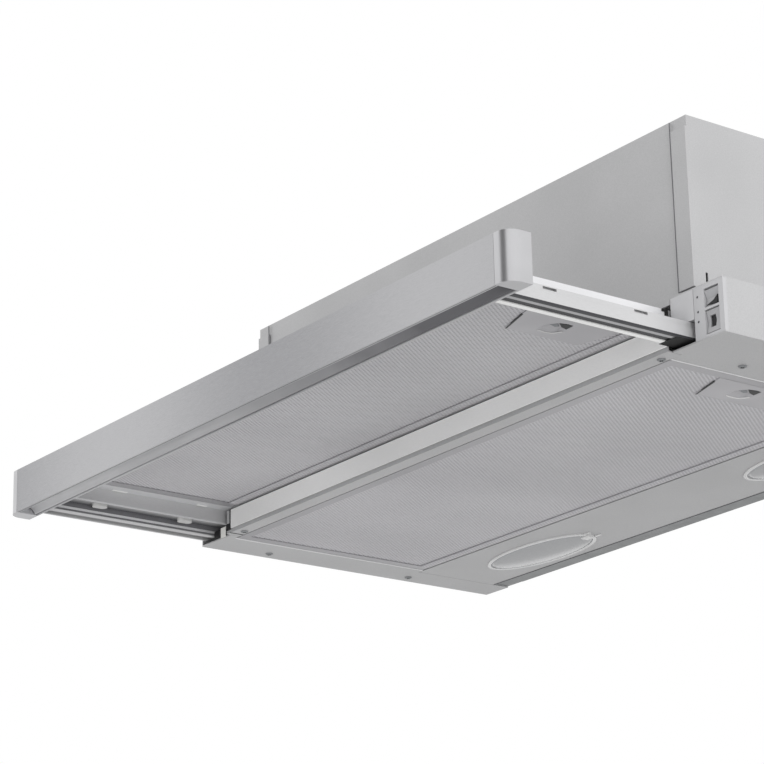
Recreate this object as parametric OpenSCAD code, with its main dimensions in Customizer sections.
// Pull-out range hood for a 600 mm wall cabinet.
// Origin: middle of the back, on the wall plane and in the plane of the cabinet's underside.
// X runs to the right, Y into the wall, Z up. Drawn with the filter drawer pulled out.

/* [Lower body] */
// Width of the lower body and of the drawer front
hood_w = 598; // [592:1:620]
// Depth of the lower body from its front to the wall
body_d = 285; // [283:1:300]
// Height of the lower body, from its underside to the cabinet seat
body_h = 37; // [36.5:0.5:42]
// Thickness of the folded sheet
sheet_t = 1; // [0.8:0.1:1.2]
// Gap at the seams between sheets that lie side by side
seam_gap = 0.4; // [0.2:0.1:0.6]
// Width of the left wing, from the side wall to the filter opening
wing_left_w = 35.5; // [34:0.5:38]
// Width of the right wing, from the side wall to the filter opening
wing_right_w = 60; // [58:0.5:64]
// Height of the folded lip under the front edge of the top sheet
front_lip_h = 3.5; // [2:0.5:4]
// Distance from the motor box's sides to the air opening
intake_side = 25.5; // [23:0.5:35]
// Distance from the body's front to the air opening
intake_front = 49; // [47:1:60]
// Distance from the wall to the air opening
intake_back = 86; // [84:1:100]
// Depth of the lamp panel, front to back
lamp_panel_d = 77.3; // [75:0.1:79]
// Depth of the rear strip behind the lamp panel
rear_strip_d = 16.4; // [14:0.2:18]
// How far the rear strip is set up above the underside
rear_strip_step = 0.8; // [0.4:0.1:1.2]

/* [Cabinet fixing] */
// Distance of the fixing nuts from the side walls
fixing_inset = 20; // [18:1:21]
// Distance of the front fixing nuts from the body's front
fixing_front = 55; // [52:1:65]
// Distance of the rear fixing nuts from the wall
fixing_back = 60; // [50:5:70]
// Radius of the nuts' tapped bore, for an M5 screw
fixing_r = 2.1; // [2:0.05:2.2]
// Outer radius of the clinch nuts
nut_r = 4.5; // [4:0.25:5]
// Height of the clinch nuts
nut_h = 5; // [4:0.5:6]

/* [Motor box] */
// Distance from the body's sides to the motor box
box_inset = 48.5; // [44:0.5:54]
// Height of the motor box above the cabinet seat
box_h = 134; // [132:1:150]
// Distance from the body's front back to the motor box
box_setback = 21.7; // [20:0.1:24]
// Height of the pressed pad that the motor box stands on
box_pad_h = 0.5; // [0.4:0.1:1]
// Width of the side sheets' flanges on the box front
flange_w = 14.5; // [12:0.5:18]
// Height at which the front flanges start
flange_low = 13; // [8:1:20]
// Distance from the box top down to the front flanges' upper ends
flange_short = 8; // [4:1:12]

/* [Duct collar] */
// Outer radius of the duct collar, for a 120 mm duct
duct_r = 60; // [58:0.5:62]
// Height of the duct collar above its flange
collar_h = 33; // [30:1:40]
// Wall of the duct collar
collar_wall = 2.5; // [2:0.25:3]
// Distance of the duct axis from the wall
duct_back = 120; // [115:1:125]
// Width of the collar's flange outside its tube
collar_flange_w = 10; // [8:0.5:14]
// Thickness of the collar's flange
collar_flange_t = 2; // [1.5:0.25:3]
// Height of the flap pin above the collar's flange
flap_pin_z = 12; // [11:0.5:14]
// Radius of the flap pin
flap_pin_r = 1.5; // [1.25:0.25:2]
// Thickness of the non-return flaps
flap_t = 1.2; // [1:0.1:1.5]

/* [Front beam] */
// How far the beam stands proud of the body's front
beam_lead = 4; // [3:0.5:5]
// Gap between the beam and the tray that slides over it
beam_gap = 1; // [0.6:0.1:1.4]
// Depth of the beam's bottom flange
beam_flange_d = 12; // [10:0.5:12.5]
// Width of the left guide bay beside the beam
left_bay_w = 41; // [40:0.5:42]
// Width of the right guide bay beside the beam
right_bay_w = 22; // [21.5:0.5:23]

/* [Drawer] */
// How far the drawer pulls out
drawer_travel = 150; // [120:1:155]
// Gap between drawer front and beam when the drawer is closed
close_gap = 0.8; // [0.5:0.1:1.5]
// Height of the tray's underside above the hood's underside
tray_low = 19.5; // [19:0.5:20]
// Height of the tray's folded edges
tray_edge_h = 9; // [7:0.5:10]
// How far the tray stays inside the body when pulled out
tray_rear = 10; // [8:0.5:14]
// How far the rails stay inside the body when pulled out
rail_rear = 30; // [28:0.5:32]
// Height of the rails' lower edge above the hood's underside
rail_low = 3.5; // [3:0.25:4]
// Height of the rails' top above the hood's underside
rail_top = 15.5; // [15:0.25:15.75]
// Wall of the rail profiles
rail_wall = 1.5; // [1.2:0.1:1.8]
// Radius of the rolled bead along each rail
bead_r = 1.6; // [1.4:0.1:1.7]
// Width of the right rail
rail_right_w = 16.5; // [16:0.25:17]
// Width of the left rail's outer part
rail_left_w = 12.5; // [12:0.25:13]
// Space between the left rail and the side wall
rail_side_gap = 5; // [4.5:0.25:5.5]
// Space between the right rail and the switch panel
rail_panel_gap = 4; // [3.5:0.25:4.5]

/* [Drawer front] */
// Height of the drawer front
fascia_h = 33; // [32:0.5:34]
// Thickness of the drawer front, front to back
fascia_t = 18.5; // [17:0.5:20]
// How far the drawer front hangs below the underside
fascia_drop = 1.6; // [1:0.1:2]
// Wall of the drawer front's front plate
fascia_plate_t = 2.5; // [2:0.25:3]
// Wall of the drawer front's top, back and grip
fascia_wall = 1.5; // [1.2:0.1:2]
// Radius of the finger grip along the drawer front
grip_r = 7.5; // [7:0.25:7.5]
// Height of the finger grip above the drawer front's lower edge
grip_h = 6; // [5:0.5:7]
// Width of the end caps
cap_w = 13; // [12:0.5:16]
// Radius of the end caps' front corners
cap_r = 10; // [8:0.5:12]

/* [Filters] */
// Distance from the body's front to the fixed filter
filter_front = 8.5; // [8.5:0.25:10]
// Thickness of the filter frames
filter_t = 8; // [7:0.5:9]
// Width of the filter frames' rims
filter_rim = 8; // [6:0.5:10]
// Gap round each filter
filter_gap = 0.8; // [0.5:0.1:1]
// Depth of the drawer filter
drawer_filter_d = 143.5; // [130:0.5:144]
// Distance from the drawer front's back to the drawer filter
drawer_filter_front = 6; // [5:0.5:8]
// Distance from the tray's left edge to the drawer filter
drawer_filter_side = 11; // [10:0.5:13]
// Distance from the right rail to the drawer filter
drawer_filter_side_r = 24; // [20:0.5:28]
// Thickness of each of a filter's two mesh layers
mesh_t = 0.8; // [0.6:0.1:1.2]

/* [Filter latches] */
// Length of the latch plate on its outer side
latch_outer_l = 75; // [70:1:80]
// Length of the latch plate on its inner side
latch_inner_l = 57; // [52:1:62]
// Width of the latch plate
latch_w = 34; // [32:1:38]
// Distance of the fixed filter's latch from the body's front
latch_fixed_y = 99; // [90:1:110]
// Distance of the drawer filter's latch from the drawer front's back
latch_drawer_y = 101; // [80:1:103]
// Thickness of the latch plate
latch_t = 6; // [5.5:0.25:6.5]
// Length of the finger recess
recess_l = 30; // [26:1:34]
// Width of the finger recess
recess_w = 15; // [13:0.5:17]
// Travel of the latch slider
latch_travel = 5; // [4:0.5:6]
// Width of the slits at the ends of the latch plate
slit_w = 1.4; // [1:0.1:1.8]

/* [Lamps] */
// Distance of the left lamp from the filter opening's left edge
lamp_left_in = 96; // [86:1:104]
// Distance of the right lamp from the filter opening's right edge
lamp_right_in = 107; // [100:1:116]
// Distance of the lamps from the lamp panel's front edge
lamp_in = 45; // [44:0.5:46.5]
// Length of the lamp lenses
lens_l = 118; // [112:1:124]
// Width of the lamp lenses
lens_w = 46; // [42:1:50]
// How far the lenses bulge below the underside
lens_bulge = 4; // [2:0.5:5]
// Width of the bezel round each lens
bezel_w = 2; // [1.5:0.5:3]
// Radius of the lamp bulbs
bulb_r = 12.5; // [11:0.5:13]
// Length of the lamp bulbs' glass
bulb_l = 60; // [50:1:66]
// Outer radius of the lamp holders
holder_r = 14; // [13.5:0.25:15]
// Length of the lamp holders
holder_l = 30; // [26:1:34]

/* [Switches] */
// Width of the switch panel
panel_w = 27; // [26:0.5:28]
// Thickness of the switch panel
panel_t = 3; // [2.5:0.25:3.5]
// Width of the rockers
rocker_w = 12.4; // [11.4:0.2:12.8]
// Height of the lamp rocker
lamp_rocker_h = 12; // [11:0.5:12.5]
// Height of the fan speed rocker
speed_rocker_h = 15.5; // [14.5:0.5:16]
// Distance from the right side wall to the rockers
rocker_inset = 4.6; // [4.2:0.2:5]
// Height of the speed rocker's lower edge above the underside
speed_rocker_low = 3; // [2.6:0.1:3.2]
// Height of the lamp rocker's lower edge above the underside
lamp_rocker_low = 20.8; // [20.4:0.2:21.2]
// Depth of the rockers
rocker_d = 7; // [6:0.5:8]
// Radius of the rockers' pivots
pivot_r = 1.2; // [1:0.1:1.4]
// Running clearance round pivots, shafts and pins
run_gap = 0.05; // [0.03:0.01:0.08]
// Depth of the switch housing behind the panel
switch_d = 42; // [38:1:50]

/* [Fan] */
// Radius of the impeller
fan_r = 46; // [44:0.5:46]
// Length of the impeller's blades
fan_l = 88; // [80:1:92]
// Number of blades
fan_blades = 32; // [20:1:36]
// Radial depth of the blades
blade_d = 8; // [7:0.5:9]
// Thickness of the blades
blade_t = 0.9; // [0.8:0.1:1.2]
// Height of the fan's axis above the cabinet seat
fan_z = 60; // [59:0.5:62]
// Distance of the fan's axis in front of the duct axis
fan_lead = 30; // [28:1:32]
// Gap between the impeller and the scroll at its tongue
tongue_gap = 4; // [3.5:0.25:4.5]
// Growth of the scroll's radius over a full turn
scroll_growth = 15; // [13:0.5:16]
// Inner width of the scroll housing
scroll_w = 100; // [96:1:104]
// Wall of the scroll housing
scroll_wall = 2; // [1.5:0.25:2.5]
// Radius of the scroll's inlets
inlet_r = 40; // [38:0.5:41]
// Radius of the motor
motor_r = 34; // [30:0.5:36]
// Length of the motor
motor_l = 56; // [50:1:60]
// Radius of the motor shaft
shaft_r = 4; // [3.5:0.25:4.5]

/* [Hidden] */

// One overrun for all cuts
over = 1;
half_w = hood_w / 2;
top_low = body_h - sheet_t;
box_w = hood_w - 2 * box_inset;
intake_w = box_w - 2 * intake_side;
intake_d = body_d - intake_front - intake_back;
fixing_pitch = body_d - fixing_front - fixing_back;

// Places across the hood
opening_x0 = -half_w + wing_left_w;
opening_x1 = half_w - wing_right_w;
panel_x0 = half_w - panel_w;
beam_x0 = -half_w + left_bay_w;
beam_x1 = panel_x0 - right_bay_w;
rail_r_out = panel_x0 - rail_panel_gap;
rail_r_in = rail_r_out - rail_right_w;
rail_l_out = -half_w + rail_side_gap;
rail_l_in = rail_l_out + rail_left_w;
left_slot = 2;
tray_x0 = beam_x0 - left_slot;
tray_x1 = rail_r_in;

// Places front to back, counted from the body's front
fascia_back = -(drawer_travel + close_gap + beam_lead);
fascia_front = fascia_back - fascia_t;
lamp_panel_y1 = body_d - rear_strip_d;
lamp_panel_y0 = lamp_panel_y1 - lamp_panel_d;
filter_back = lamp_panel_y0 - filter_gap;
lamp_left_x = opening_x0 + lamp_left_in;
lamp_right_x = opening_x1 - lamp_right_in;
lamp_y = lamp_panel_y0 + lamp_in;

// Heights counted from the hood's underside
beam_h = tray_low - beam_gap;
tray_floor = tray_low + sheet_t;

// Drawn from the body's front edge and the hood's underside
module at_front() { translate([0, -body_d, -body_h]) children(); }

// A block given by its six faces
module bar(x0, x1, y0, y1, z0, z1) {
    translate([x0, y0, z0]) cube([x1 - x0, y1 - y0, z1 - z0]);
}

// A profile drawn in Y and Z, run along X
module along_x(x0, x1) {
    translate([x0, 0, 0]) rotate([90, 0, 90]) linear_extrude(x1 - x0) children();
}

// A profile drawn in X and Z, run along Y
module along_y(y0, y1) {
    translate([0, y1, 0]) rotate([90, 0, 0]) linear_extrude(y1 - y0) children();
}

module round_x(r, x0, x1) { translate([x0, 0, 0]) rotate([0, 90, 0]) cylinder(r = r, h = x1 - x0,
    $fn = 48); }

// Screws shared by the casing: a low round head over a short shank
screw_head_r = 3;
screw_head_h = 1;
screw_r = 1.5;
screw_l = 3;
screw_play = 0.2;
module screw() {
    translate([0, 0, -screw_head_h]) cylinder(r = screw_head_r, h = screw_head_h, $fn = 32);
    cylinder(r = screw_r, h = screw_l, $fn = 24);
}
module screw_hole() { translate([0, 0, -over]) cylinder(r = screw_r + screw_play, h = screw_l + over,
    $fn = 24); }
screw_pad_t = 2.2;
screw_pad_r = 5;

wing_screw_left_inset = 11;
wing_screw_right_inset = 44;
wing_screw_front = 56;
wing_screw_back = 91;
wing_screw_rear = body_d - wing_screw_back;
beam_screw_inset = 14;
function wing_screws() = [
    [-half_w + wing_screw_left_inset, wing_screw_front],
    [-half_w + wing_screw_left_inset, wing_screw_rear],
    [half_w - wing_screw_right_inset, wing_screw_front],
    [half_w - wing_screw_right_inset, wing_screw_rear]
];
function beam_screws() = [
    [beam_x0 + beam_screw_inset, -beam_lead + beam_flange_d - screw_pad_r + sheet_t],
    [beam_x1 - beam_screw_inset, -beam_lead + beam_flange_d - screw_pad_r + sheet_t]
];

// Fixing nuts in the wings of the top sheet, in the row's own axes
function fixings() = [
    for (sx = [-1, 1]) for (k = [0, 1])
        [sx * (half_w - fixing_inset), -fixing_back - k * fixing_pitch]
];

// Lower body: top sheet with its air opening, side walls, rear ends and front lip
box_pad_margin = 1;
module chassis() color("silver") at_front() difference() {
    union() {
        bar(-half_w, half_w, 0, body_d, top_low, body_h);
        bar(-half_w, -half_w + sheet_t, 0, body_d, sheet_t, top_low);
        bar(half_w - sheet_t, half_w, panel_t, body_d, sheet_t, top_low);
        bar(-half_w, half_w - panel_w - right_bay_w, 0, sheet_t, top_low - front_lip_h, top_low);
        for (s = [0, 1]) mirror([s, 0, 0])
            bar(box_w / 2, half_w, body_d - sheet_t, body_d, sheet_t, top_low);
        bar(-box_w / 2 - box_pad_margin, box_w / 2 + box_pad_margin, box_setback - box_pad_margin, body_d,
            top_low, body_h + box_pad_h);
    }
    translate([-intake_w / 2, body_d - intake_back - intake_d, top_low - over])
        cube([intake_w, intake_d, sheet_t + 2 * over]);
    bar(-box_w / 2, box_w / 2, body_d - sheet_t, body_d + over, top_low - over, body_h + over);
    translate([0, body_d, 0]) for (p = fixings())
        translate([p[0], p[1], top_low - over]) cylinder(r = fixing_r, h = sheet_t + 2 * over, $fn = 32);
}

// Clinch nuts pressed under the top sheet for the cabinet screws
module clinch_nuts() color("gray") for (p = fixings())
    translate([p[0], p[1], -sheet_t - nut_h]) difference() {
        cylinder(r = nut_r, h = nut_h, $fn = 48);
        translate([0, 0, -over]) cylinder(r = fixing_r, h = nut_h + 2 * over, $fn = 32);
    }

// Wings: bottom sheets beside the filters, each with a turned-up inner edge
wing_edge_h = 9;
module wing_screw_pads(side) {
    for (p = wing_screws()) if (p[0] * side > 0 && p[1] == wing_screw_rear)
        translate([p[0], p[1], sheet_t]) cylinder(r = screw_pad_r, h = screw_pad_t, $fn = 32);
}
module wing_screw_holes(side) {
    for (p = wing_screws()) if (p[0] * side > 0) translate([p[0], p[1], 0]) screw_hole();
}
wing_step = 6.5;
module wing_left() color("silver") at_front() difference() {
    union() {
        bar(-half_w, beam_x0 - seam_gap, 0, filter_front - filter_gap, 0, sheet_t);
        bar(-half_w, opening_x0, 0, lamp_panel_y0, 0, sheet_t);
        bar(-half_w, opening_x0 - wing_step, lamp_panel_y0, body_d, 0, sheet_t);
        wing_screw_pads(-1);
    }
    wing_screw_holes(-1);
}
module wing_right() color("silver") at_front() difference() {
    union() {
        bar(beam_x1 + seam_gap, half_w, 0, filter_front - filter_gap, 0, sheet_t);
        bar(opening_x1, half_w, filter_front - filter_gap, lamp_panel_y0, 0, sheet_t);
        bar(opening_x1 + wing_step, half_w, lamp_panel_y0, body_d, 0, sheet_t);
        bar(opening_x1, opening_x1 + sheet_t, filter_front, filter_back, sheet_t, wing_edge_h);
        wing_screw_pads(1);
    }
    wing_screw_holes(1);
}

// Front beam: a C-section between the guide bays, under the tray
beam_top_d = 9;
beam_seam_z = 2.4;
beam_seam_h = 0.6;
beam_seam_d = 0.4;
module front_beam() color("gainsboro") at_front() difference() {
    union() {
        bar(beam_x0, beam_x1, -beam_lead, -beam_lead + sheet_t, 0, beam_h);
        bar(beam_x0, beam_x1, -beam_lead, -beam_lead + beam_flange_d - seam_gap, 0, sheet_t);
        bar(beam_x0, beam_x1, -beam_lead, -beam_lead + beam_top_d, beam_h - sheet_t, beam_h);
        for (p = beam_screws())
            translate([p[0], p[1] - sheet_t, sheet_t]) cylinder(r = screw_pad_r - sheet_t,
                h = screw_pad_t, $fn = 32);
    }
    for (p = beam_screws()) translate([p[0], p[1] - sheet_t, 0]) screw_hole();
    bar(beam_x0 - over, beam_x1 + over, -beam_lead - over, -beam_lead + beam_seam_d, beam_seam_z,
        beam_seam_z + beam_seam_h);
}

// Every visible casing screw, heads on the underside
module casing_screws() color("lightgray") at_front() {
    for (p = wing_screws()) translate([p[0], p[1], 0]) screw();
    for (p = beam_screws()) translate([p[0], p[1] - sheet_t, 0]) screw();
}

// Flat oval, drawn point by point on an ellipse
oval_points = 56;
module oval(l, w) {
    polygon([for (i = [0:oval_points - 1])
        [l / 2 * cos(i * 360 / oval_points), w / 2 * sin(i * 360 / oval_points)]]);
}

// Lamp panel: drops in behind the fixed filter and carries both lamps
module lamp_panel() color("silver") at_front() difference() {
    union() {
        bar(opening_x0 - wing_step + seam_gap, opening_x1 + wing_step - seam_gap,
            lamp_panel_y0 + seam_gap, lamp_panel_y1 - seam_gap, 0, sheet_t);
        bar(opening_x0, opening_x1, lamp_panel_y0 + seam_gap, lamp_panel_y0 + seam_gap + sheet_t,
            sheet_t, wing_edge_h);
        bar(opening_x0, opening_x1, lamp_panel_y1 - seam_gap - sheet_t, lamp_panel_y1 - seam_gap,
            sheet_t, wing_edge_h);
    }
    for (x = [lamp_left_x, lamp_right_x])
        translate([x, lamp_y, -over]) linear_extrude(sheet_t + 2 * over)
            oval(lens_l + bezel_w, lens_w + bezel_w);
}

// Back panel: full-height sheet on the wall plane with a folded foot as the rear strip
rear_seam = 1.2;
module back_panel() color("silver") {
    translate([0, 0, -body_h]) bar(-box_w / 2, box_w / 2, -sheet_t, 0, sheet_t, body_h + box_h);
    at_front() bar(opening_x0 - wing_step + seam_gap, opening_x1 + wing_step - seam_gap,
        lamp_panel_y1 + rear_seam, body_d - sheet_t, rear_strip_step, rear_strip_step + sheet_t);
    at_front() bar(-box_w / 2, opening_x1 + wing_step - seam_gap, body_d - 2 * sheet_t, body_d,
        rear_strip_step, rear_strip_step + sheet_t);
}

// Motor box, in the row's own axes
box_front_y = box_setback - body_d;
flange_gap = 0.5;
box_sheet_y = box_front_y + sheet_t + flange_gap;
box_foot_d = 10;
slot_l = 8.5;
slot_w = 2;
slot_back = 11;
slot_up = 16;
module box_front() color("silver") {
    bar(-box_w / 2 + sheet_t, box_w / 2 - sheet_t, box_sheet_y, box_sheet_y + sheet_t, box_pad_h,
        box_h - sheet_t);
    bar(-intake_w / 2, intake_w / 2, box_sheet_y, box_sheet_y + box_foot_d, box_pad_h, box_pad_h + sheet_t);
}
module box_side() difference() {
    union() {
        bar(box_w / 2 - sheet_t, box_w / 2, box_sheet_y, -sheet_t, box_pad_h, box_h - sheet_t);
        bar(box_w / 2 - sheet_t, box_w / 2, box_front_y, box_sheet_y + sheet_t, flange_low,
            box_h - flange_short);
        bar(box_w / 2 - flange_w, box_w / 2, box_front_y, box_front_y + sheet_t, flange_low,
            box_h - flange_short);
    }
    bar(box_w / 2 - sheet_t - over, box_w / 2 + over, box_front_y + slot_back,
        box_front_y + slot_back + slot_w,
        slot_up, slot_up + slot_l);
}
module box_side_left() color("lightgray") mirror([1, 0, 0]) box_side();
module box_side_right() color("lightgray") box_side();

// Cable entry on the box top
gland_in = 50.5;
gland_x = box_w / 2 - gland_in;
gland_back = 52;
gland_r = 7;
gland_h = 12;
gland_flange_r = 10;
gland_flange_t = 4;
gland_bore_r = 4;
module box_top() color("silver") difference() {
    bar(-box_w / 2, box_w / 2, box_sheet_y, -sheet_t, box_h - sheet_t, box_h);
    translate([0, -duct_back, box_h - sheet_t - over])
        cylinder(r = duct_r - collar_wall, h = sheet_t + 2 * over, $fn = 96);
    translate([gland_x, -gland_back, box_h - sheet_t - over])
        cylinder(r = gland_bore_r, h = sheet_t + 2 * over, $fn = 32);
}
module cable_gland() color("dimgray") translate([gland_x, -gland_back, box_h]) difference() {
    union() {
        cylinder(r = gland_flange_r, h = gland_flange_t, $fn = 6);
        cylinder(r = gland_r, h = gland_flange_t + gland_h, $fn = 48);
    }
    translate([0, 0, -over]) cylinder(r = gland_bore_r, h = gland_flange_t + gland_h + 2 * over, $fn = 32);
}

// Duct collar with the ledge that the closed flaps lie on
duct_in_r = duct_r - collar_wall;
flap_hang = 1.8;
ledge_w = 3;
ledge_t = 2;
ledge_gap = 0.3;
pin_end = duct_r - collar_wall / 2;
module at_duct() { translate([0, -duct_back, box_h]) children(); }
module duct_collar() color("dimgray") at_duct() {
    pin_z = collar_flange_t + flap_pin_z;
    difference() {
        union() {
            cylinder(r = duct_r + collar_flange_w, h = collar_flange_t, $fn = 96);
            cylinder(r = duct_r, h = collar_flange_t + collar_h, $fn = 96);
        }
        translate([0, 0, -over]) cylinder(r = duct_in_r, h = collar_flange_t + collar_h + 2 * over,
            $fn = 96);
        translate([0, 0, pin_z]) round_x(flap_pin_r + run_gap, -pin_end - ledge_gap, pin_end + ledge_gap);
    }
    translate([0, 0, pin_z - flap_hang - ledge_gap - ledge_t]) difference() {
        cylinder(r = duct_in_r, h = ledge_t, $fn = 96);
        translate([0, 0, -over]) cylinder(r = duct_in_r - ledge_w, h = ledge_t + 2 * over, $fn = 96);
    }
}
module flap_pin() color("lightgray") at_duct()
    translate([0, 0, collar_flange_t + flap_pin_z]) round_x(flap_pin_r, -pin_end, pin_end);

// Non-return flaps: half discs that hinge on the pin by two knuckles each
flap_edge_gap = 1.2;
flap_r = duct_in_r - flap_edge_gap;
knuckle_wall = 1.5;
knuckle_r = flap_pin_r + knuckle_wall;
knuckle_gap = 0.5;
knuckle_l = 10;
front_knuckle_shares = [-0.62, 0.25];
rear_knuckle_shares = [-0.25, 0.62];
module flap(side, shares) difference() {
    union() {
        intersection() {
            translate([0, 0, -flap_hang]) cylinder(r = flap_r, h = flap_t, $fn = 96);
            if (side > 0) bar(-duct_r, duct_r, knuckle_r + knuckle_gap, duct_r, -duct_r, duct_r);
            else bar(-duct_r, duct_r, -duct_r, -knuckle_r - knuckle_gap, -duct_r, duct_r);
        }
        for (k = shares) translate([k * flap_r, 0, 0]) {
            round_x(knuckle_r, -knuckle_l / 2, knuckle_l / 2);
            if (side > 0) bar(-knuckle_l / 2, knuckle_l / 2, 0, knuckle_r + 2 * knuckle_gap, -flap_hang,
                -flap_hang + flap_t);
            else bar(-knuckle_l / 2, knuckle_l / 2, -knuckle_r - 2 * knuckle_gap, 0, -flap_hang,
                -flap_hang + flap_t);
        }
    }
    round_x(flap_pin_r + run_gap, -duct_r, duct_r);
}
module flap_front() color("gray") at_duct() translate([0, 0, collar_flange_t + flap_pin_z]) flap(-1,
    front_knuckle_shares);
module flap_rear() color("gray") at_duct() translate([0, 0, collar_flange_t + flap_pin_z]) flap(1,
    rear_knuckle_shares);

// Rockers: shallow V-faced keys on a pivot, drawn about that pivot
rocker_x1 = half_w - rocker_inset;
rocker_x0 = rocker_x1 - rocker_w;
pocket_gap = 0.4;
pivot_back = 2;
pivot_y = panel_t + pivot_back;
pivot_l = 1.2;
rocker_front = 4.2;
rocker_dip = 1.4;
rocker_foot_share = 0.45;
lamp_rocker_tilt = 8;
module rocker(h) {
    half = h / 2 - pocket_gap;
    along_x(rocker_x0, rocker_x1) polygon([
        [-rocker_front, half], [-rocker_front + rocker_dip, 0], [-rocker_front, -half],
        [0, -half], [rocker_d - rocker_front, -half * rocker_foot_share],
        [rocker_d - rocker_front, half * rocker_foot_share], [0, half]
    ]);
    round_x(pivot_r, rocker_x0 - pivot_l, rocker_x1 + pivot_l);
}
lamp_rocker_z = lamp_rocker_low + lamp_rocker_h / 2;
speed_rocker_z = speed_rocker_low + speed_rocker_h / 2;
key_field_shares = [0.22, 0.62];
key_field_h = 8;
key_field_d = 2.4;
module lamp_rocker() color("gray") at_front() translate([0, pivot_y, lamp_rocker_z])
    rotate([lamp_rocker_tilt, 0, 0]) rocker(lamp_rocker_h);
module speed_rocker() color("gray") at_front() translate([0, pivot_y, speed_rocker_z]) difference() {
    rocker(speed_rocker_h);
    bar(rocker_x0 + key_field_shares[0] * rocker_w, rocker_x0 + key_field_shares[1] * rocker_w,
        -rocker_front - over, -rocker_front + key_field_d, -key_field_h / 2, key_field_h / 2);
}

// Switch panel: bezel with two rocker pockets and three indicator holes
indicator_r = 0.8;
indicator_inset = 3.5;
indicator_shares = [0.35, 0.53, 0.80];
module rocker_pockets(y0, y1) {
    for (r = [[lamp_rocker_low, lamp_rocker_h], [speed_rocker_low, speed_rocker_h]])
        bar(rocker_x0 - pocket_gap, rocker_x1 + pocket_gap, y0, y1, r[0] - pocket_gap,
            r[0] + r[1] + pocket_gap);
}
module switch_panel() color("silver") at_front() difference() {
    bar(panel_x0, half_w, 0, panel_t, sheet_t, top_low);
    rocker_pockets(-over, panel_t + over);
    for (s = indicator_shares) translate([panel_x0 + indicator_inset, panel_t + over, s * body_h])
        rotate([90, 0, 0]) cylinder(r = indicator_r, h = panel_t + 2 * over, $fn = 24);
}
housing_side_gap = 1.5;
module switch_housing() color("dimgray") at_front() difference() {
    bar(panel_x0 + housing_side_gap, half_w - housing_side_gap, panel_t, panel_t + switch_d, sheet_t,
        top_low);
    rocker_pockets(panel_t - over, pivot_y + rocker_d);
    for (z = [lamp_rocker_z, speed_rocker_z]) translate([0, pivot_y, z])
        round_x(pivot_r + run_gap, rocker_x0 - pivot_l - pocket_gap, rocker_x1 + pivot_l + pocket_gap / 2);
}

// Guides: each carries a rail on a shelf and holds it down from above
guide_gap = 0.3;
guide_y0 = 6;
guide_y1 = rail_rear + drawer_travel + 3 * sheet_t;
guide_block_d = 25;
guide_shelf_y0 = 15;
guide_lip_w = 6;
guide_lip_t = 2;
guide_top_gap = 0.6;
rail_cover = tray_floor + sheet_t + guide_gap;
module guide_right() color("gray") at_front() difference() {
    guide_right_body(panel_x0 - seam_gap, rail_r_out + 2 * guide_gap);
    wing_screw_holes(1);
}
module guide_right_body(x1, wall_x) {
    bar(beam_x1 + seam_gap, x1, 0, guide_block_d, rail_cover, top_low);
    bar(rail_r_in + rail_wall + 3 * guide_gap, x1, 0, guide_block_d, rail_top + guide_top_gap, rail_cover);
    bar(wall_x, x1, guide_y0, guide_y1, sheet_t, top_low);
    bar(rail_r_in, x1, guide_shelf_y0, guide_y1, sheet_t, rail_low - guide_gap);
    bar(rail_r_out - guide_lip_w, wall_x, guide_block_d, guide_y1, rail_top + guide_top_gap,
        rail_top + guide_top_gap + guide_lip_t);
}
skid_inset = 20;
skid_x0 = -half_w + skid_inset;
skid_w = 11;
skid_h = 8.8;
skid_y0 = 4;
module guide_left() color("gray") at_front() difference() {
    guide_left_body(-half_w + sheet_t + seam_gap, rail_l_out - 2 * guide_gap);
    wing_screw_holes(-1);
}
module guide_left_body(x0, wall_x) {
    bar(x0, rail_l_in, sheet_t + seam_gap, guide_block_d, rail_top + guide_top_gap, top_low);
    bar(x0, wall_x, guide_y0, guide_y1, sheet_t, top_low);
    bar(x0, skid_x0 + skid_w, guide_shelf_y0, guide_y1, sheet_t, rail_low - guide_gap);
    bar(wall_x, rail_l_out + guide_lip_w - sheet_t, guide_block_d, guide_y1, rail_top + guide_top_gap,
        rail_top + guide_top_gap + guide_lip_t);
    bar(skid_x0, skid_x0 + skid_w, skid_y0, guide_y1, sheet_t, skid_h);
}

// Microswitch that stops the fan when the drawer is pushed in
micro_in = 3;
micro_x0 = intake_w / 2 + micro_in;
micro_w = 14;
micro_d = 12;
micro_h = 13;
micro_gap = 0.6;
micro_nose_d = 4.4;
micro_nose_h = 3;
micro_arm_t = 2.4;
micro_ear_t = 1.5;
micro_pivot_drop = 3.5;
micro_lever_l = 10;
micro_clear = 2.2;
micro_nose_y = tray_rear + drawer_travel + micro_gap;
micro_pivot_y = micro_nose_y + micro_nose_d + micro_arm_t / 2;
micro_pivot_z = top_low - micro_pivot_drop;
micro_body_y = micro_pivot_y + micro_arm_t / 2 + micro_clear;
module microswitch() color("dimgray") at_front() {
    bar(micro_x0, micro_x0 + micro_w, micro_body_y, micro_body_y + micro_d, top_low - micro_h, top_low);
    for (x = [micro_x0 - micro_ear_t, micro_x0 + micro_w]) difference() {
        bar(x, x + micro_ear_t, micro_pivot_y - micro_pivot_drop + sheet_t, micro_body_y + micro_ear_t,
            micro_pivot_z - micro_pivot_drop + sheet_t, top_low);
        translate([0, micro_pivot_y, micro_pivot_z]) round_x(pivot_r + run_gap, x - over,
            x + micro_ear_t + over);
    }
}
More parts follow.
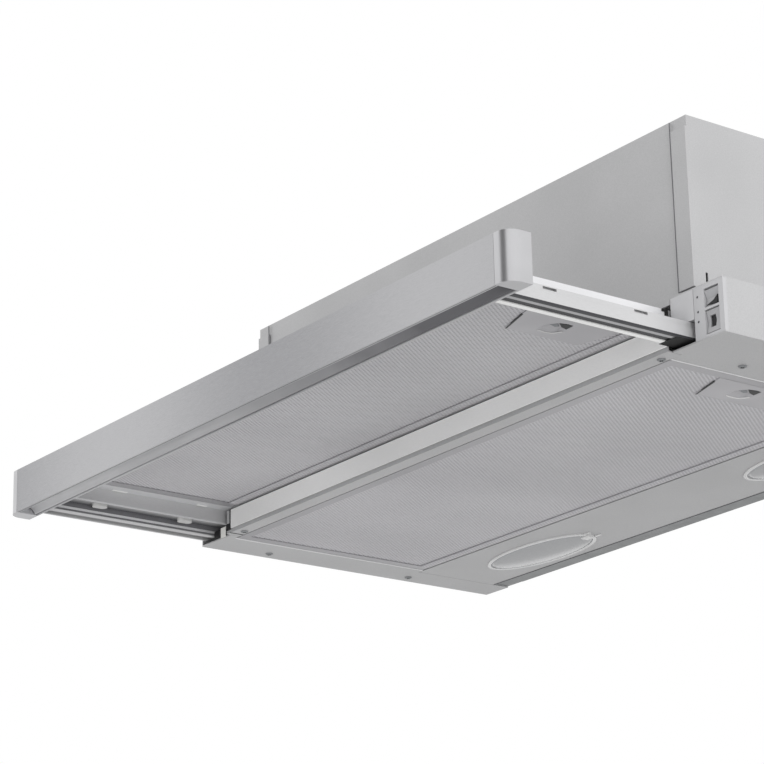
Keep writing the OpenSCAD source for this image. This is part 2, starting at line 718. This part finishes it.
module microswitch_lever() color("lightgray") at_front() {
    x0 = micro_x0 + guide_gap;
    x1 = micro_x0 + micro_w - guide_gap;
    translate([0, micro_pivot_y, micro_pivot_z]) round_x(pivot_r, micro_x0 - micro_ear_t,
        micro_x0 + micro_w + micro_ear_t);
    bar(x0, x1, micro_pivot_y - micro_arm_t / 2, micro_pivot_y + micro_arm_t / 2,
        micro_pivot_z - micro_lever_l, micro_pivot_z);
    bar(x0, x1, micro_nose_y, micro_pivot_y, micro_pivot_z - micro_lever_l,
        micro_pivot_z - micro_lever_l + micro_nose_h);
}

// Fan: scroll outline in Y and Z about the fan's axis, from the tongue round to the outlet neck
fan_y = -duct_back - fan_lead;
tongue_angle = 110;
scroll_end_angle = 360;
scroll_steps = 30;
neck_half = 46;
neck_top = box_h - sheet_t - fan_z;
function scroll_radius(a) = fan_r + tongue_gap + scroll_growth * (a - tongue_angle) / scroll_end_angle;
function scroll_points(wall) = concat(
    [for (i = [0:scroll_steps])
        let (a = tongue_angle + i * (scroll_end_angle - tongue_angle) / scroll_steps,
            r = scroll_radius(a) + wall)
            [r * cos(a), r * sin(a)]],
    [[fan_lead + neck_half + wall, neck_top], [fan_lead - neck_half - wall, neck_top],
        [scroll_radius(tongue_angle) * cos(tongue_angle) - wall, scroll_radius(tongue_angle)
            * sin(tongue_angle) + wall]]);
module at_fan() { translate([0, fan_y, fan_z]) children(); }

bell_l = 4;
bell_t = 2;
module scroll_half() at_fan() {
    edge = scroll_w / 2;
    along_x(0, edge) difference() {
        polygon(scroll_points(scroll_wall));
        polygon(scroll_points(0));
    }
    along_x(edge, edge + scroll_wall) difference() {
        polygon(scroll_points(scroll_wall));
        circle(r = inlet_r, $fn = 96);
    }
    difference() {
        round_x(inlet_r + bell_t, edge - bell_l, edge);
        round_x(inlet_r, edge - bell_l - over, edge + over);
    }
}
module scroll_right() color("dimgray") scroll_half();
module scroll_left() color("dimgray") mirror([1, 0, 0]) scroll_half();

// Impeller: forward-curved blades between two rings, carried by a disc and hub
hub_r = 9;
hub_l = 18;
disc_t = 2;
ring_w = 3;
ring_t = 2;
blade_sweep = 16;
blade_steps = 5;
function blade_side(sign) = [for (i = [0:blade_steps])
    let (t = i / blade_steps, r = fan_r - blade_d + blade_d * t,
        a = blade_sweep * t * t + sign * blade_t / 2 / r * 180 / PI) [r * cos(a), r * sin(a)]];
function reversed(v) = [for (i = [len(v) - 1:-1:0]) v[i]];
module impeller() color("gray") at_fan() {
    along_x(-fan_l / 2, fan_l / 2) for (k = [0:fan_blades - 1]) rotate(k * 360 / fan_blades)
        polygon(concat(blade_side(-1), reversed(blade_side(1))));
    for (x = [-fan_l / 2, fan_l / 2 - ring_t]) difference() {
        round_x(fan_r, x, x + ring_t);
        round_x(fan_r - ring_w, x - over, x + ring_t + over);
    }
    difference() {
        union() {
            round_x(fan_r, -disc_t / 2, disc_t / 2);
            round_x(hub_r, -hub_l / 2, hub_l / 2);
        }
        round_x(shaft_r, -hub_l, hub_l);
    }
}

// Motor beside the right inlet, on a three-armed bracket with rubber dampers
motor_gap = 10;
bell_end_l = 6;
bell_end_share = 0.72;
shaft_past = 6;
bracket_t = 2.5;
bracket_w = 10;
damper_r = 3.5;
damper_at = 47;
bracket_angles = [30, 150, 270];
motor_x0 = scroll_w / 2 + scroll_wall + motor_gap;
motor_x1 = motor_x0 + motor_l;
module motor_shaft() color("lightgray") at_fan() round_x(shaft_r, -hub_l / 2 - shaft_past,
    motor_x1 + bell_end_l + shaft_past);
module motor() color("dimgray") at_fan() difference() {
    union() {
        round_x(motor_r, motor_x0, motor_x1);
        round_x(motor_r * bell_end_share, motor_x0 - bell_end_l, motor_x1 + bell_end_l);
    }
    round_x(shaft_r + run_gap, motor_x0 - bell_end_l - over, motor_x1 + bell_end_l + over);
}
module motor_bracket() color("lightgray") at_fan() {
    difference() {
        round_x(motor_r + bracket_t, motor_x0, motor_x0 + bracket_w);
        round_x(motor_r, motor_x0 - over, motor_x0 + bracket_w + over);
    }
    for (a = bracket_angles) rotate([a, 0, 0])
        bar(motor_x0, motor_x0 + bracket_t, motor_r + bracket_t / 2, damper_at + damper_r,
            -bracket_w / 2, bracket_w / 2);
}
module motor_dampers() color("black") at_fan() for (a = bracket_angles) rotate([a, 0, 0])
    translate([0, damper_at, 0]) round_x(damper_r, scroll_w / 2 + scroll_wall, motor_x0);

// Start capacitor and terminal box inside the motor box
cap_can_r = 15;
cap_can_h = 50;
cap_can_in = 90.5;
cap_can_x = box_w / 2 - cap_can_in;
cap_can_back = 45;
cap_tab_w = 6;
cap_tab_t = 0.8;
cap_tab_h = 9;
module capacitor() color("whitesmoke") translate([cap_can_x, -cap_can_back, box_pad_h]) {
    cylinder(r = cap_can_r, h = cap_can_h, $fn = 64);
    for (s = [-1, 1]) bar(s * cap_tab_w - cap_tab_t / 2, s * cap_tab_w + cap_tab_t / 2,
        -cap_tab_w / 2, cap_tab_w / 2, cap_can_h, cap_can_h + cap_tab_h);
}
terminal_w = 60;
terminal_d = 36;
terminal_h = 28;
terminal_wall = 2;
module terminal_box() color("whitesmoke") translate([gland_x, -gland_back, box_h - sheet_t - terminal_h])
    difference() {
    bar(-terminal_w / 2, terminal_w / 2, -terminal_d / 2, terminal_d / 2, 0, terminal_h);
    bar(-terminal_w / 2 + terminal_wall, terminal_w / 2 - terminal_wall, -terminal_d / 2 + terminal_wall,
        terminal_d / 2 - terminal_wall, terminal_wall, terminal_h + over);
}

// Lamps: holder and tubular bulb lying behind an oval frosted lens in its bezel
lamp_z = 19.5;
bulb_cap_r = 7;
bulb_cap_l = 20;
bulb_collar = 1;
dome_steps = 12;
holder_bore_gap = 0.3;
holder_foot_w = 12;
lamp_lead = 58;
bezel_drop = 0.8;
bezel_neck_h = 5;
lens_gap = 0.3;
lens_wall = 1.5;
lens_rim_h = 3;
lens_shares = [[1, 0.55, 0.45], [0.75, 0.8, 0.75], [0.35, 0.95, 0.93]];
module lamp_holder(x) color("whitesmoke") at_front() translate([x - lamp_lead, lamp_y, lamp_z]) {
    difference() {
        round_x(holder_r, 0, holder_l);
        round_x(bulb_cap_r + holder_bore_gap, holder_l - bulb_cap_l, holder_l + over);
    }
    bar(0, holder_l, -holder_foot_w / 2, holder_foot_w / 2, holder_r - sheet_t, top_low - lamp_z);
}
module bulb(x) color("white") at_front() translate([x - lamp_lead + holder_l, lamp_y, lamp_z]) {
    rotate([0, 90, 0]) rotate_extrude($fn = 64) polygon(concat(
        [[0, holder_bore_gap - bulb_cap_l], [bulb_cap_r, holder_bore_gap - bulb_cap_l],
            [bulb_cap_r, bulb_collar], [bulb_r, bulb_collar]],
        [for (i = [0:dome_steps]) let (a = i * 90 / dome_steps)
            [i == dome_steps ? 0 : bulb_r * cos(a), bulb_l + bulb_r * sin(a)]]));
}
clip_l = 5;
clip_w = 2;
clip_at_share = 0.12;
module lamp_bezel(x) color("whitesmoke") at_front() translate([x, lamp_y, 0]) {
    difference() {
        union() {
            translate([0, 0, -bezel_drop]) linear_extrude(bezel_drop) oval(lens_l + 2 * bezel_w,
                lens_w + 2 * bezel_w);
            linear_extrude(bezel_neck_h) oval(lens_l + bezel_w - lens_gap, lens_w + bezel_w - lens_gap);
        }
        translate([0, 0, -over]) linear_extrude(bezel_neck_h + 2 * over) oval(lens_l + lens_gap,
            lens_w + lens_gap);
    }
    for (s = [-1, 1]) bar(lens_l / 2 + bezel_w / 2, lens_l / 2 + bezel_w + clip_l,
        s * clip_at_share * lens_w - clip_w / 2, s * clip_at_share * lens_w + clip_w / 2, -bezel_drop, 0);
}
module lens_body(l, w, drop, rim) {
    hull() {
        for (k = lens_shares)
            translate([0, 0, -drop * k[0]]) linear_extrude(lens_wall) oval(l * k[1], w * k[2]);
        linear_extrude(rim) oval(l, w);
    }
}
module lamp_lens(x) color("white") at_front() translate([x, lamp_y, 0]) difference() {
    lens_body(lens_l, lens_w, lens_bulge, lens_rim_h);
    translate([0, 0, lens_wall]) linear_extrude(lens_rim_h) oval(lens_l - 2 * lens_wall,
        lens_w - 2 * lens_wall);
}
module lamp_holder_left() lamp_holder(lamp_left_x);
module lamp_holder_right() lamp_holder(lamp_right_x);
module bulb_left() bulb(lamp_left_x);
module bulb_right() bulb(lamp_right_x);
module lamp_bezel_left() lamp_bezel(lamp_left_x);
module lamp_bezel_right() lamp_bezel(lamp_right_x);
module lamp_lens_left() lamp_lens(lamp_left_x);
module lamp_lens_right() lamp_lens(lamp_right_x);

// Filters: channel frame round two mesh layers, with a latch plate let into its right side
frame_wall = 1;
latch_window_gap = 0.3;
slider_w = 20;
slider_h = 2;
slider_up = 3;
slider_gap = 0.2;
tab_t = 1.5;
tab_w = 13;
tab_up = 0.6;
recess_in_share = 0.55;

fixed_x0 = opening_x0 + filter_gap;
fixed_x1 = opening_x1 - filter_gap;
fixed_y0 = filter_front;
fixed_y1 = filter_back - filter_gap;
drawer_fx0 = tray_x0 + drawer_filter_side;
drawer_fx1 = tray_x1 - drawer_filter_side_r;
drawer_fy0 = fascia_back + drawer_filter_front;
drawer_fy1 = drawer_fy0 + drawer_filter_d;
drawer_latch_y = fascia_back + latch_drawer_y;

module filter_frame(x0, x1, y0, y1, z0, latch_y) difference() {
    bar(x0, x1, y0, y1, z0, z0 + filter_t);
    bar(x0 + filter_rim, x1 - filter_rim, y0 + filter_rim, y1 - filter_rim, z0 - over,
        z0 + filter_t + over);
    bar(x0 + frame_wall, x1 - frame_wall, y0 + frame_wall, y1 - frame_wall, z0 + frame_wall,
        z0 + filter_t - frame_wall);
    bar(x1 - filter_rim, x1 + over, latch_y - slider_w / 2 - latch_window_gap,
        latch_y + slider_w / 2 + latch_window_gap,
        z0 + slider_up - slider_gap, z0 + slider_up + slider_h + slider_gap);
}

// Outline of the latch plate in X and Y, its outer side at x = 0
module latch_outline(grow) polygon([
    [0, -latch_outer_l / 2 - grow], [-latch_w, -latch_inner_l / 2 - grow],
    [-latch_w, latch_inner_l / 2 + grow], [0, latch_outer_l / 2 + grow]
]);
module filter_mesh(x0, x1, y0, y1, z0, latch_y) difference() {
    for (z = [z0 + frame_wall, z0 + filter_t - frame_wall - mesh_t])
        bar(x0 + frame_wall, x1 - frame_wall, y0 + frame_wall, y1 - frame_wall, z, z + mesh_t);
    translate([x1 - filter_rim, latch_y, z0 - over]) linear_extrude(filter_t + 2 * over)
        latch_outline(slit_w);
    bar(x1 - filter_rim - over, x1, latch_y - latch_outer_l / 2 - slit_w,
        latch_y + latch_outer_l / 2 + slit_w,
        z0 - over, z0 + filter_t + over);
}

// Latch plate: lens-shaped finger recess below, a slot for the slider above it
recess_arc_r = (recess_l * recess_l / 4 + recess_w * recess_w / 4) / recess_w;
module recess_outline() intersection() {
    translate([recess_arc_r - recess_w / 2, 0, 0]) circle(r = recess_arc_r, $fn = 96);
    translate([recess_w / 2 - recess_arc_r, 0, 0]) circle(r = recess_arc_r, $fn = 96);
}
module latch_plate(x1, z0, latch_y) translate([x1 - filter_rim, latch_y, z0]) difference() {
    linear_extrude(latch_t) latch_outline(0);
    translate([-latch_w * recess_in_share, 0, -over])
        linear_extrude(over + slider_up + slider_h + slider_gap) recess_outline();
    bar(-latch_w * recess_in_share - recess_w / 2, over, -slider_w / 2 - slider_gap,
        slider_w / 2 + slider_gap,
        slider_up - slider_gap, slider_up + slider_h + slider_gap);
}
module latch_slider(x1, z0, latch_y) translate([x1 - filter_rim, latch_y, z0]) {
    x_tab = -latch_w * recess_in_share - recess_w / 2 + latch_travel + tab_t;
    bar(x_tab, filter_rim - frame_wall, -slider_w / 2, slider_w / 2, slider_up, slider_up + slider_h);
    bar(x_tab, x_tab + tab_t, -tab_w / 2, tab_w / 2, tab_up, slider_up);
}

module fixed_filter_frame() color("silver") at_front()
    filter_frame(fixed_x0, fixed_x1, fixed_y0, fixed_y1, 0, latch_fixed_y);
module fixed_filter_mesh() color("darkgray") at_front()
    filter_mesh(fixed_x0, fixed_x1, fixed_y0, fixed_y1, 0, latch_fixed_y);
module fixed_latch_plate() color("gray") at_front() latch_plate(fixed_x1, 0, latch_fixed_y);
module fixed_latch_slider() color("dimgray") at_front() latch_slider(fixed_x1, 0, latch_fixed_y);
module drawer_filter_frame() color("silver") at_front()
    filter_frame(drawer_fx0, drawer_fx1, drawer_fy0, drawer_fy1, tray_low, drawer_latch_y);
module drawer_filter_mesh() color("darkgray") at_front()
    filter_mesh(drawer_fx0, drawer_fx1, drawer_fy0, drawer_fy1, tray_low, drawer_latch_y);
module drawer_latch_plate() color("gray") at_front() latch_plate(drawer_fx1, tray_low, drawer_latch_y);
module drawer_latch_slider() color("dimgray") at_front() latch_slider(drawer_fx1, tray_low, drawer_latch_y);

// Drawer front: hollow profile with a finger grip rolled into its underside
fascia_half = half_w - cap_w - seam_gap / 2;
fascia_low = -fascia_drop;
fascia_top = fascia_low + fascia_h;
grip_half = sqrt(grip_r * grip_r - (grip_r - grip_h) * (grip_r - grip_h));
grip_y = fascia_front + fascia_plate_t + grip_half;
fascia_screw_shares = [-0.75, -0.25, 0.25, 0.75];
screw_xs = [for (s = fascia_screw_shares) s * fascia_half];
screw_z = tray_floor + tray_edge_h / 2;
module grip_circle(extra) translate([grip_y, fascia_low + grip_h - grip_r]) circle(r = grip_r + extra,
    $fn = 96);
module fascia_profile() difference() {
    translate([fascia_front, fascia_low]) square([fascia_t, fascia_h]);
    difference() {
        translate([fascia_front + fascia_plate_t, fascia_low + fascia_wall])
            square([fascia_t - fascia_plate_t - fascia_wall, fascia_h - 2 * fascia_wall]);
        grip_circle(fascia_wall);
    }
    grip_circle(0);
}
module fascia() color("silver") at_front() difference() {
    along_x(-fascia_half, fascia_half) fascia_profile();
    for (x = screw_xs) translate([x, fascia_back + over, screw_z])
        rotate([90, 0, 0]) cylinder(r = screw_r + screw_play, h = fascia_wall + 2 * over, $fn = 24);
}

module on_side(side) { if (side < 0) mirror([1, 0, 0]) children(); else children(); }

// End caps: rounded front corner, plugged into the open ends of the drawer front
plug_l = 12;
plug_gap = 0.3;
module end_cap(side) color("gainsboro") at_front() on_side(side) {
    translate([half_w - cap_w, fascia_front, fascia_low]) linear_extrude(fascia_h) intersection() {
        square([cap_w, fascia_t]);
        union() {
            translate([0, cap_r]) square([cap_w, fascia_t]);
            square([cap_w - cap_r, fascia_t]);
            translate([cap_w - cap_r, cap_r]) circle(r = cap_r, $fn = 96);
        }
    }
    bar(half_w - cap_w - plug_l, half_w - cap_w, fascia_front + fascia_plate_t + plug_gap,
        fascia_back - fascia_wall - plug_gap, fascia_low + grip_h + fascia_wall + plug_gap,
            fascia_top - fascia_wall - plug_gap);
}
module end_cap_left() end_cap(-1);
module end_cap_right() end_cap(1);

// Drawer tray: sheet floor round the drawer filter with folded edges
flange_r_w = 5;
flange_l_w = 4;
edge_left_x = tray_x0 + flange_l_w + seam_gap;
edge_right_x = tray_x1 + rail_wall - flange_r_w - seam_gap;
module drawer_tray() color("silver") at_front() difference() {
    union() {
        bar(tray_x0, tray_x1, fascia_back, tray_rear, tray_low, tray_floor);
        bar(edge_left_x, edge_left_x + sheet_t, fascia_back, tray_rear, tray_floor,
            tray_floor + tray_edge_h);
        bar(edge_right_x - sheet_t, edge_right_x, fascia_back, tray_rear, tray_floor,
            tray_floor + tray_edge_h);
        bar(edge_left_x, edge_right_x, tray_rear - sheet_t, tray_rear, tray_floor,
            tray_floor + tray_edge_h);
        bar(edge_left_x, edge_right_x, fascia_back, fascia_back + sheet_t, tray_floor,
            tray_floor + tray_edge_h);
    }
    bar(drawer_fx0 - filter_gap, drawer_fx1 + filter_gap, drawer_fy0 - filter_gap, drawer_fy1 + filter_gap,
        tray_low - over, tray_floor + over);
    for (x = screw_xs) translate([x, fascia_back + sheet_t + over, screw_z])
        rotate([90, 0, 0]) cylinder(r = screw_r + screw_play, h = sheet_t + 2 * over, $fn = 24);
}
module drawer_screws() color("lightgray") at_front() for (x = screw_xs)
    translate([x, fascia_back + sheet_t, screw_z]) rotate([90, 0, 0]) screw();

// Rails: fluted profiles that hang from the tray's edges, with a bead and a stop lug each
ridge_w = 2.6;
ridge_at_share = 0.5;
lug_w = 4;
lug_l = 4;
lug_h = 5;
rail_slot_l = 11;
rail_slot_h = 1.8;
rail_slot_drop = 0.7;
rail_slot_shares = [0.222, 0.7];
rail_strip_h = 8;
rail_step = 0.8;
module rail_right() color("whitesmoke") at_front() difference() {
    union() {
        along_y(fascia_back, rail_rear) union() {
            translate([rail_r_out - rail_wall, rail_low]) square([rail_wall, rail_strip_h]);
            translate([rail_r_out - rail_step - rail_wall, rail_low + rail_strip_h - rail_wall])
                square([rail_wall, rail_top - rail_low - rail_strip_h + rail_wall]);
            translate([rail_r_in, rail_top - rail_wall]) square([rail_right_w - rail_step, rail_wall]);
            translate([rail_r_in + rail_right_w * ridge_at_share, rail_low + rail_wall])
                square([ridge_w, rail_top - rail_low - rail_wall]);
            translate([rail_r_in, rail_low + bead_r]) square([rail_wall,
                tray_floor + sheet_t - rail_low - bead_r]);
            translate([rail_r_in + bead_r, rail_low + bead_r]) circle(r = bead_r, $fn = 48);
        }
        bar(rail_r_in + rail_wall - flange_r_w, rail_r_in + rail_wall, fascia_back + sheet_t + seam_gap,
            tray_rear, tray_floor, tray_floor + sheet_t);
        bar(rail_r_in + flange_r_w, rail_r_in + flange_r_w + lug_w, guide_block_d + sheet_t,
            guide_block_d + sheet_t + lug_l,
            rail_top, rail_top + lug_h);
    }
    for (s = rail_slot_shares) translate([rail_r_out - rail_step - rail_wall - over, fascia_back * (1 - s),
        rail_top - rail_slot_drop - rail_slot_h])
        cube([rail_wall + 2 * over, rail_slot_l, rail_slot_h]);
}
module rail_left() color("whitesmoke") at_front() union() {
    along_y(fascia_back, rail_rear) union() {
        translate([rail_l_out, rail_low]) square([rail_wall, rail_top - rail_low]);
        translate([rail_l_out, rail_top - rail_wall]) square([tray_x0 - rail_l_out, rail_wall]);
        translate([rail_l_out + rail_left_w * ridge_at_share - ridge_w / 2, rail_low + rail_wall])
            square([ridge_w, rail_top - rail_low - rail_wall]);
        translate([rail_l_in - rail_wall, rail_low + bead_r]) square([rail_wall,
            rail_top - rail_low - bead_r]);
        translate([rail_l_in - bead_r, rail_low + bead_r]) circle(r = bead_r, $fn = 48);
        translate([tray_x0 - rail_wall, skid_h + guide_gap]) square([rail_wall,
            tray_floor + sheet_t - skid_h - guide_gap]);
    }
    bar(tray_x0 - rail_wall, tray_x0 + flange_l_w, fascia_back + sheet_t + seam_gap, tray_rear, tray_floor,
        tray_floor + sheet_t);
    bar(rail_l_in - bead_r - lug_w, rail_l_in - bead_r, guide_block_d + sheet_t,
        guide_block_d + sheet_t + lug_l,
        rail_top, rail_top + lug_h);
}

// Glides: oval pads over the skid, on a dark strip let into the left rail's channel
glide_l = 12;
glide_w = 7;
glide_shares = [0.297, 0.788];
glide_strip_t = 2;
module drawer_glides() color("white") at_front() for (s = glide_shares)
    translate([skid_x0 + skid_w / 2, fascia_back * (1 - s), skid_h + guide_gap])
        linear_extrude(rail_top - rail_wall - glide_strip_t - skid_h - guide_gap) union() {
            for (e = [-1, 1]) translate([0, e * (glide_l - glide_w) / 2]) circle(r = glide_w / 2, $fn = 48);
            square([glide_w, glide_l - glide_w], center = true);
        }

module glide_strip() color("black") at_front() bar(rail_l_in + seam_gap, tray_x0 - rail_wall - seam_gap,
    fascia_back, rail_rear, rail_top - rail_wall - glide_strip_t, rail_top - rail_wall);

chassis();
wing_left();
wing_right();
front_beam();
lamp_panel();
back_panel();
box_front();
box_side_left();
box_side_right();
box_top();
duct_collar();
flap_pin();
flap_front();
flap_rear();
clinch_nuts();
casing_screws();
switch_panel();
switch_housing();
lamp_rocker();
speed_rocker();
guide_left();
guide_right();
microswitch();
microswitch_lever();
scroll_left();
scroll_right();
impeller();
motor_shaft();
motor();
motor_bracket();
motor_dampers();
capacitor();
terminal_box();
cable_gland();
lamp_holder_left();
lamp_holder_right();
bulb_left();
bulb_right();
lamp_bezel_left();
lamp_bezel_right();
lamp_lens_left();
lamp_lens_right();
fixed_filter_frame();
fixed_filter_mesh();
fixed_latch_plate();
fixed_latch_slider();
fascia();
end_cap_left();
end_cap_right();
drawer_tray();
rail_left();
rail_right();
drawer_glides();
glide_strip();
drawer_screws();
drawer_filter_frame();
drawer_filter_mesh();
drawer_latch_plate();
drawer_latch_slider();
